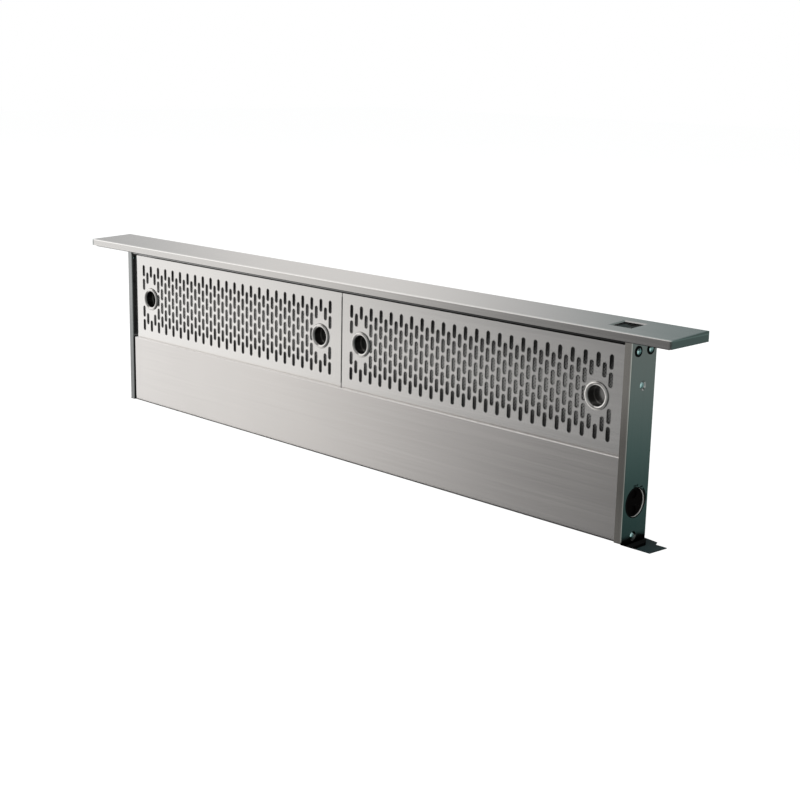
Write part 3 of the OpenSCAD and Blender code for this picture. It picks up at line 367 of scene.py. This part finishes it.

# Left side panel: the side steel with painted shade that makes it darker than the right one
LEFT_STEEL_SHADED = (0.315, 0.325, 0.325)
LOOKS = {
    "cap": brushed("cap_steel", (0.87, 0.855, 0.835), 0.22, X, shade=CAP_SHADE),
    "panel": brushed("panel_steel", (0.91, 0.885, 0.865), 0.22, X, shade=PANEL_SHADE),
    "cover": brushed("cover_steel", (0.78, 0.77, 0.755), 0.24, X, 0.05, COVER_SHADE, rolled=1.6 * MM),
    "side": brushed("side_steel", (0.598, 0.598, 0.585), 0.2, Z, 0.06, SIDE_SHADE),
    "side_left": brushed("left_side_steel_shaded", LEFT_STEEL_SHADED, 0.2, Z, 0.06, [SIDE_HEIGHT_SHADE]),
    "rear": brushed("rear_steel", (0.6, 0.6, 0.59), 0.38, X),
    "cup": plain_metal("cup_steel", (0.74, 0.725, 0.7), 0.2, CUP_SHADE),
    "inner": plain_metal("inner_steel", (0.34, 0.34, 0.335), 0.45),
    "rail": plain_metal("rail_steel", (0.44, 0.44, 0.435), 0.45, RAIL_SHADE),
    "zinc": zinc("zinc_sheet"),
    "mouth": zinc("zinc_sheet_mouth_shadow", MOUTH_SHADE),
    "screw": plain_metal("screw_zinc", (0.72, 0.76, 0.75), 0.2),
    # Side screws: the screw zinc with a painted teal reflection in its colour
    "side_screw": plain_metal("side_screw_zinc_teal_reflection", (0.52, 0.72, 0.71), 0.18),
    "plate": moulded("plate_paint", (0.009, 0.017, 0.018), 0.6, specular=0.14),
    "mesh": wire_mesh("mesh_wire", (0.4, 0.396, 0.384), MESH_SHADE),
    "black": moulded("black_plastic", (0.012, 0.012, 0.012), 0.55),
    "dull": moulded("dull_black", (0.003, 0.003, 0.003), 0.7, specular=0.06),
    "gloss": moulded("gloss_plastic", (0.005, 0.008, 0.008), 0.35, relief=0.05, specular=0.12),
    "knob": moulded("knob_plastic", (0.002, 0.0012, 0.0012), 0.7, relief=0.1, specular=0.04),
    "brass": plain_metal("brass_turned", (0.68, 0.5, 0.26), 0.25),
    "rubber": moulded("rubber_foam", (0.004, 0.004, 0.004), 0.85, grain=500.0, relief=0.5, specular=0.08),
    "white": moulded("acetal_white", (0.78, 0.77, 0.72), 0.4, relief=0.1, vary=0.03),
    "board": moulded("board_green", (0.03, 0.14, 0.07), 0.4, coat=0.5),
    "magnet": plain_metal("magnet_plate", (0.3, 0.3, 0.32), 0.3),
    "motor": moulded("motor_paint", (0.05, 0.055, 0.06), 0.5, coat=0.2),
    "shaft": plain_metal("shaft_steel", (0.62, 0.62, 0.62), 0.18),
    "ring": moulded("ring_enamel", (0.5, 0.49, 0.47), 0.4, vary=0.04, shade=RING_SHADE),
    # Ink for the printed dial marks, also used as painted shade for the crosses in the box screws
    "print_and_shade": moulded("mark_print_and_shade", (0.002, 0.003, 0.003), 0.7, relief=0.0, specular=0.03),
}
USE = {
    "cap": ["cap"],
    "panel": ["lower_front_panel"],
    "cover": ["filter_cover_left", "filter_cover_right"],
    "side": ["side_panel_right"],
    "side_left": ["side_panel_left"],
    "rear": ["rear_panel"],
    "cup": ["finger_cups_left", "finger_cups_right"],
    "rail": ["header_rail"],
    "inner": ["cap_base", "filter_seat", "crosshead", "filter_frame_left", "filter_frame_right"],
    "mouth": ["back_sheet", "end_wall_left", "end_wall_right", "front_panel"],
    "zinc": ["housing_floor", "guide_rail_left", "guide_rail_right", "duct_collar", "wiring_box",
             "wiring_box_cover", "counter_bracket_left", "counter_bracket_right", "support_leg_left",
             "support_leg_right", "motor_bracket"],
    "side_screw": ["side_screws"],
    "screw": ["housing_screws", "bracket_screws"],
    "plate": ["end_plate"],
    "mesh": ["filter_mesh_left", "filter_mesh_right"],
    "black": ["switch_body", "speed_control", "limit_switches"],
    "dull": ["screw_washers", "dial_ring"],
    "gloss": ["rocker"],
    "knob": ["speed_knob"],
    "brass": ["lift_nut", "switch_terminals"],
    "rubber": ["cap_gasket", "mouth_seals"],
    "white": ["slide_shoe_left", "slide_shoe_right"],
    "board": ["control_board"],
    "magnet": ["holding_magnets"],
    "motor": ["gearbox", "lift_motor"],
    "shaft": ["lead_screw", "thrust_bearing"],
    "ring": ["knob_ring"],
}
for look, names in USE.items():
    for name in names:
        nodes[name].data.materials.clear()
        nodes[name].data.materials.append(LOOKS[look])

# Pieces that stay out of other pieces' reflections, because the brushed grain blurs them away
for name in ("side_panel_left", "end_plate", "end_wall_right"):
    nodes[name].visible_glossy = False

SHARP_ANGLE = math.radians(40.0)


# Makes a piece of a mesh and lets it ride on a body. A smooth piece keeps the edges sharper than SHARP_ANGLE.
def add(name, bm, material, body=None, smooth=True):
    mesh = bpy.data.meshes.new(name)
    bm.normal_update()
    bm.to_mesh(mesh)
    bm.free()
    mesh.materials.append(material)
    piece = bpy.data.objects.new(name, mesh)
    scene.collection.objects.link(piece)
    if smooth:
        for polygon in mesh.polygons:
            polygon.use_smooth = True
        mesh.set_sharp_from_angle(angle=SHARP_ANGLE)
    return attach(piece, body) if body else piece


# Turns an outline of radius and height round an axis that starts at a point, in millimetres
def lathe(bm, outline, start, axis, steps=32, closed=False):
    spin = Vector((0, 0, 1)).rotation_difference(Vector(axis)).to_matrix()
    rings = []
    for r, h in outline:
        turns = [2 * math.pi * i / steps for i in range(steps if r else 1)]
        ring = [spin @ Vector((r * math.cos(a), r * math.sin(a), h)) + Vector(start) for a in turns]
        rings.append([bm.verts.new(v * MM) for v in ring])
    if closed:
        rings.append(rings[0])
    for low, high in zip(rings, rings[1:]):
        for i in range(steps):
            j = i + 1
            quad = [low[i % len(low)], low[j % len(low)], high[j % len(high)], high[i % len(high)]]
            corners = list(dict.fromkeys(quad))
            if len(corners) > 2:
                bm.faces.new(corners)


# Thin raised shape on a face: a flat outline in two directions, in millimetres
def raised(bm, outline, origin, across, up, height=0.06):
    normal = Vector(across).cross(Vector(up))
    flat = [Vector(origin) + Vector(across) * a + Vector(up) * b for a, b in outline]
    low = [bm.verts.new(v * MM) for v in flat]
    high = [bm.verts.new((v + normal * height) * MM) for v in flat]
    bm.faces.new(high)
    for i in range(len(flat)):
        j = (i + 1) % len(flat)
        bm.faces.new((low[i], low[j], high[j], high[i]))


# Marks round the speed control: the word OFF, a tick for full speed and a wedge for less. Their places are
# given from the control's axis, to the rear and up.
LETTER_W, LETTER_H, STROKE = 1.9, 2.2, 0.6
WORD_UP = 15.7
LETTERS_AT = (-3.8, -1.1, 1.6)
ARM_W = LETTER_W * 0.9
TICK = (7.4, 13.7, 3.6, 1.5)
WEDGE_STEPS = 24
WEDGE_START, WEDGE_SWEEP = 46, 86
WEDGE_OUT, WEDGE_OUT_FALL = 17.9, 2.3 / 40
WEDGE_IN, WEDGE_IN_LEAST, WEDGE_IN_FALL = 16.3, 15.5, 1 / 30
marks = bmesh.new()


def mark(outline):
    raised(marks, outline, KNOB_AT, (0, 1, 0), (0, 0, 1))


def bar(rear, up, w, h):
    mark([(rear, up), (rear + w, up), (rear + w, up + h), (rear, up + h)])


letter_o, *letters_f = LETTERS_AT
word_top = WORD_UP + LETTER_H - STROKE
for rear in (letter_o, letter_o + LETTER_W - STROKE):
    bar(rear, WORD_UP, STROKE, LETTER_H)
for up in (WORD_UP, word_top):
    bar(letter_o, up, LETTER_W, STROKE)
for rear in letters_f:
    bar(rear, WORD_UP, STROKE, LETTER_H)
    for up in (WORD_UP + LETTER_H / 2 - STROKE / 2, word_top):
        bar(rear, up, ARM_W, STROKE)
bar(*TICK)
arc = [WEDGE_START - WEDGE_SWEEP * i / WEDGE_STEPS for i in range(WEDGE_STEPS + 1)]
wedge = [(max(WEDGE_IN_LEAST, WEDGE_IN - (WEDGE_START - a) * WEDGE_IN_FALL), math.radians(a)) for a in arc]
wedge += [(WEDGE_OUT + min(a, 0) * WEDGE_OUT_FALL, math.radians(a)) for a in reversed(arc)]
mark([(r * math.cos(a), r * math.sin(a)) for r, a in wedge])
add("dial_marks", marks, LOOKS["print_and_shade"], "riser", smooth=False)

# Wiring box: four cover screws, each with a dark cross in its head as painted shade for a cross recess
SCREW_IN = 7.0
SCREW_HEAD = [(3.4, 0.0), (3.2, 0.4), (2.4, 0.95), (1.2, 1.25), (0.0, 1.3)]
CROSS_LONG, CROSS_WIDE, CROSS_UP = 3.4, 0.7, 1.24
screws = [(x, z) for x in (BOX_X[0] + SCREW_IN, BOX_X[1] - SCREW_IN)
          for z in (BOX_Z[0] + SCREW_IN, BOX_Z[1] - SCREW_IN)]
heads = bmesh.new()
cross_shades = bmesh.new()
for x, z in screws:
    lathe(heads, SCREW_HEAD, (x, BOX_COVER_Y, z), (0, -1, 0))
    for w, h in ((CROSS_LONG, CROSS_WIDE), (CROSS_WIDE, CROSS_LONG)):
        arm = [(-w / 2, -h / 2), (w / 2, -h / 2), (w / 2, h / 2), (-w / 2, h / 2)]
        raised(cross_shades, arm, (x, BOX_COVER_Y - CROSS_UP, z), (1, 0, 0), (0, 0, 1))
add("box_cover_screws", heads, LOOKS["screw"], "housing")
add("box_screw_cross_shades", cross_shades, LOOKS["print_and_shade"], "housing", smooth=False)

# Wiring box: knock-outs for other cable ways, but not where the cable inlet is, low on the right
KNOCKOUT_IN = 20
KNOCKOUT_RING = [(10.2, 0.0), (10.2, 0.35), (11.0, 0.35), (11.0, 0.0)]
KNOCKOUT_MIDDLE = [(0.0, 0.25), (2.0, 0.25), (2.4, 0.0)]
knockout_low, knockout_high = BOX_Z[0] + KNOCKOUT_IN, BOX_Z[1] - KNOCKOUT_IN
knockouts = bmesh.new()
for x, z, out in ((BOX_X[0], knockout_low, -1), (BOX_X[0], knockout_high, -1), (BOX_X[1], knockout_high, 1)):
    lathe(knockouts, KNOCKOUT_RING, (x, BOX_MID_Y, z), (out, 0, 0), closed=True)
    lathe(knockouts, KNOCKOUT_MIDDLE, (x, BOX_MID_Y, z), (out, 0, 0))
add("knockouts", knockouts, LOOKS["zinc"], "housing")

# Duct collar: two rolled beads round it and the lock seam along it
BEAD_OUT, BEAD_W, BEAD_STEPS = 1.1, 1.6, 8
BEAD_TURNS = [math.pi * i / BEAD_STEPS for i in range(BEAD_STEPS + 1)]
BEAD = [(COLLAR_R + BEAD_OUT * math.sin(a), BEAD_W * math.cos(a)) for a in BEAD_TURNS]
BEADS_Y = (COLLAR_END + 9.0, COLLAR_AT[Y] - 7.0)
SEAM_AT = math.radians(200)
SEAM_W, SEAM_UP, SEAM_SUNK, SEAM_INSET = 4.4, 0.7, 0.1, 0.5
collar = bmesh.new()
for y in BEADS_Y:
    lathe(collar, BEAD, (COLLAR_AT[X], y, COLLAR_AT[Z]), (0, -1, 0), steps=96)
seam_out = Vector((math.cos(SEAM_AT), 0, math.sin(SEAM_AT)))
seam_start = Vector(COLLAR_AT) + seam_out * (COLLAR_R - SEAM_SUNK)
seam_end = COLLAR_AT[Y] - COLLAR_END - SEAM_INSET
seam = [(-SEAM_W / 2, SEAM_INSET), (SEAM_W / 2, SEAM_INSET), (SEAM_W / 2, seam_end), (-SEAM_W / 2, seam_end)]
raised(collar, seam, seam_start, Vector((0, -1, 0)).cross(seam_out), (0, -1, 0), SEAM_UP)
add("collar_bead", collar, LOOKS["zinc"], "housing")

# Spot welds down the end walls, where they lap the guide rails and the back sheet
WELD = [(2.6, 0.0), (2.3, 0.18), (1.6, 0.12), (0.0, 0.04)]
WELD_PITCH = 38.0
WELD_ROWS = (15.0, 38.0)
weld_count = int((HOUSING_Z[1] - HOUSING_Z[0]) / WELD_PITCH)
welds = bmesh.new()
for out in (-1, 1):
    for y in WELD_ROWS:
        for i in range(weld_count):
            z = HOUSING_Z[1] - WELD_PITCH / 2 - i * WELD_PITCH
            lathe(welds, WELD, (out * HOUSING_X, y, z), (out, 0, 0), steps=16)
add("spot_welds", welds, LOOKS["zinc"], "housing")

# Camera: placed by the fit to the photograph
CAMERA_AT = (1.1593, -1.0904, 0.4501)
CAMERA_RIGHT = Vector((0.71425215, 0.69956036, 0.02142838))
CAMERA_DOWN = Vector((0.17692043, -0.15084419, -0.97259714))
CAMERA_FORWARD = Vector((-0.67715805, 0.69847071, -0.23150731))
cam_data = bpy.data.cameras.new("camera")
cam_data.lens = 64.26
cam_data.sensor_width = 36.0
cam_data.clip_start = 0.05
cam_data.clip_end = 60.0
cam = bpy.data.objects.new("camera", cam_data)
scene.collection.objects.link(cam)
cam_turn = Matrix((CAMERA_RIGHT, -CAMERA_DOWN, -CAMERA_FORWARD)).transposed()
cam.matrix_world = Matrix.Translation(Vector(CAMERA_AT)) @ cam_turn.to_4x4()
scene.camera = cam

# Worktop: a pale sheet at the level of the worktop, with the cut-out that the riser comes out of
FAR = 9000.0
WORKTOP_EDGE = [(-FAR, -FAR), (FAR, -FAR), (FAR, FAR), (-FAR, FAR)]
CUT_OUT = [(-402.7, -0.1), (-394.3, -0.1), (-394.2, 2.28), (394.2, 2.28), (394.3, -0.1), (402.6, -0.1),
           (403.2, -1.2), (404.5, -1.7), (419.5, -1.7), (421.9, -1.6), (424, 0.5), (424, 20), (414, 31),
           (408.2, 34.5), (406.2, 35.2), (402.6, 40.6), (-402.7, 42.1)]
sheet = bmesh.new()
edges = []
for outline in (CUT_OUT, WORKTOP_EDGE):
    corners = [sheet.verts.new((x * MM, y * MM, 0.0)) for x, y in outline]
    edges += [sheet.edges.new((a, b)) for a, b in zip(corners, corners[1:] + corners[:1])]
bmesh.ops.triangle_fill(sheet, use_beauty=True, use_dissolve=False, edges=edges)
sheet.normal_update()
for face in sheet.faces:
    if face.normal.z < 0:
        face.normal_flip()


# To the camera the worktop is white apart from the shadow of the vent. To all else it is a plain pale grey,
# and it is clear from below, so that the housing can be seen from there.
def worktop_look():
    material = bpy.data.materials.new("worktop_pale")
    nt, out = blank_tree(material, "ShaderNodeOutputMaterial")
    to_camera = nt.nodes.new("ShaderNodeLightPath").outputs["Is Camera Ray"]
    from_below = nt.nodes.new("ShaderNodeNewGeometry").outputs["Backfacing"]
    pale = shader(nt, "ShaderNodeBsdfDiffuse", {"Color": (0.78, 0.78, 0.78, 1)})
    shadow = shader(nt, "ShaderNodeBsdfDiffuse", {"Color": (0.16, 0.16, 0.16, 1)})
    glow = shader(nt, "ShaderNodeEmission", {"Color": WHITE, "Strength": 0.9})
    clear = shader(nt, "ShaderNodeBsdfTransparent", {})
    seen = shader(nt, "ShaderNodeAddShader", {0: shadow, 1: glow})
    above = shader(nt, "ShaderNodeMixShader", {0: to_camera, 1: pale, 2: seen})
    feed(nt, out.inputs["Surface"], shader(nt, "ShaderNodeMixShader", {0: from_below, 1: above, 2: clear}))
    return material


worktop = add("worktop", sheet, worktop_look(), smooth=False)
worktop.visible_glossy = False

# World: white behind the object, and a studio in the reflections. AROUND gives its tones from the front at 0
# over the left, the rear and the right back to the front at 1, and UPWARD dims them towards the floor. Where
# SIDE_REACH is 1, from the rear to the right, SIDE takes over, with tones from straight down to straight up.
# PEAK is the strength of the light, so that the ramps can hold tones above 1.
PEAK = 1.25
PALE = (0.88, 0.862, 0.845)
TEAL = (0.72, 0.8, 0.79)
AROUND = [
    (0.0, 0.5), (0.05, 0.26), (0.088, 0.16), (0.1, 0.28), (0.114, 0.385), (0.126, (0.885, 0.862, 0.845)),
    (0.14, (1.19, 1.165, 1.135)), (0.16, 1.24), (0.2, 1.24), (0.26, 0.9), (0.32, 0.56), (0.345, 0.6),
    (0.36, PALE), (0.376, PALE), (0.392, 0.56), (0.406, (0.25, 0.3, 0.3)), (0.45, (0.15, 0.2, 0.2)),
    (0.5, (0.2, 0.25, 0.25)), (0.7, (0.3, 0.33, 0.33)), (0.745, TEAL), (0.83, TEAL), (0.89, 0.3),
    (0.95, 0.28), (1.0, 0.5),
]
UPWARD = [(0.0, 0.6), (0.3, 0.8), (0.4, 1.0), (1.0, 1.0)]
SIDE = [
    (0.0, (0.1, 0.14, 0.14)), (0.32, (0.015, 0.04, 0.038)), (0.343, (0.035, 0.09, 0.085)),
    (0.36, (0.08, 0.19, 0.18)), (0.376, (0.14, 0.245, 0.23)), (0.392, (0.24, 0.28, 0.27)),
    (0.41, (0.25, 0.285, 0.275)), (0.5, (0.2, 0.26, 0.25)), (0.65, (0.4, 0.43, 0.43)), (1.0, 0.7),
]
SIDE_REACH = [(0.0, 0.0), (0.47, 0.0), (0.53, 1.0), (0.66, 1.0), (0.7, 0.0), (1.0, 0.0)]


def under_peak(stops):
    return [(at, tuple(v / PEAK for v in c) if isinstance(c, tuple) else c / PEAK) for at, c in stops]


def light_the_world():
    world = bpy.data.worlds.new("studio")
    scene.world = world
    nt, out = blank_tree(world, "ShaderNodeOutputWorld")
    to_camera = nt.nodes.new("ShaderNodeLightPath").outputs["Is Camera Ray"]
    direction = split(nt, nt.nodes.new("ShaderNodeTexCoord").outputs["Generated"])
    left = maths(nt, "MULTIPLY", direction[X], -1.0)
    front = maths(nt, "MULTIPLY", direction[Y], -1.0)
    angle = maths(nt, "DIVIDE", maths(nt, "ARCTAN2", left, front), 2 * math.pi)
    turn = maths(nt, "FRACT", maths(nt, "ADD", angle, 1.0), 0.0)
    level = linear(nt, direction[Z], factor=0.5, start=0.5)
    around = multiplied(nt, ramp(nt, turn, under_peak(AROUND)), ramp(nt, level, UPWARD))
    to_side = ramp(nt, turn, SIDE_REACH)
    grade = blended(nt, "MIX", to_side, around, ramp(nt, level, under_peak(SIDE)))
    studio = shader(nt, "ShaderNodeBackground", {"Color": grade, "Strength": PEAK})
    plain = shader(nt, "ShaderNodeBackground", {"Color": WHITE, "Strength": 1.0})
    feed(nt, out.inputs["Surface"], shader(nt, "ShaderNodeMixShader", {0: to_camera, 1: studio, 2: plain}))


light_the_world()

# Lamps: name, place, width and height in metres, and power. All of them point at the middle of the riser,
# and none shows in reflections.
LAMP_TARGET = Vector((0, 0, 0.1))
LAMPS = [
    ("key_lamp", (-2.0, -1.8, 2.6), (1.6, 1.6), 95.0),
    ("fill_lamp", (1.6, -2.4, 1.8), (2.0, 2.0), 30.0),
    ("back_lamp", (0.5, 2.6, 2.2), (2.4, 1.2), 35.0),
]
for name, place, (width, height), power in LAMPS:
    light = bpy.data.lights.new(name, "AREA")
    light.shape = "RECTANGLE"
    light.size = width
    light.size_y = height
    light.energy = power
    lamp = bpy.data.objects.new(name, light)
    scene.collection.objects.link(lamp)
    lamp.location = place
    lamp.rotation_mode = "QUATERNION"
    lamp.rotation_quaternion = (LAMP_TARGET - Vector(place)).to_track_quat("-Z", "Y")
    lamp.visible_glossy = False
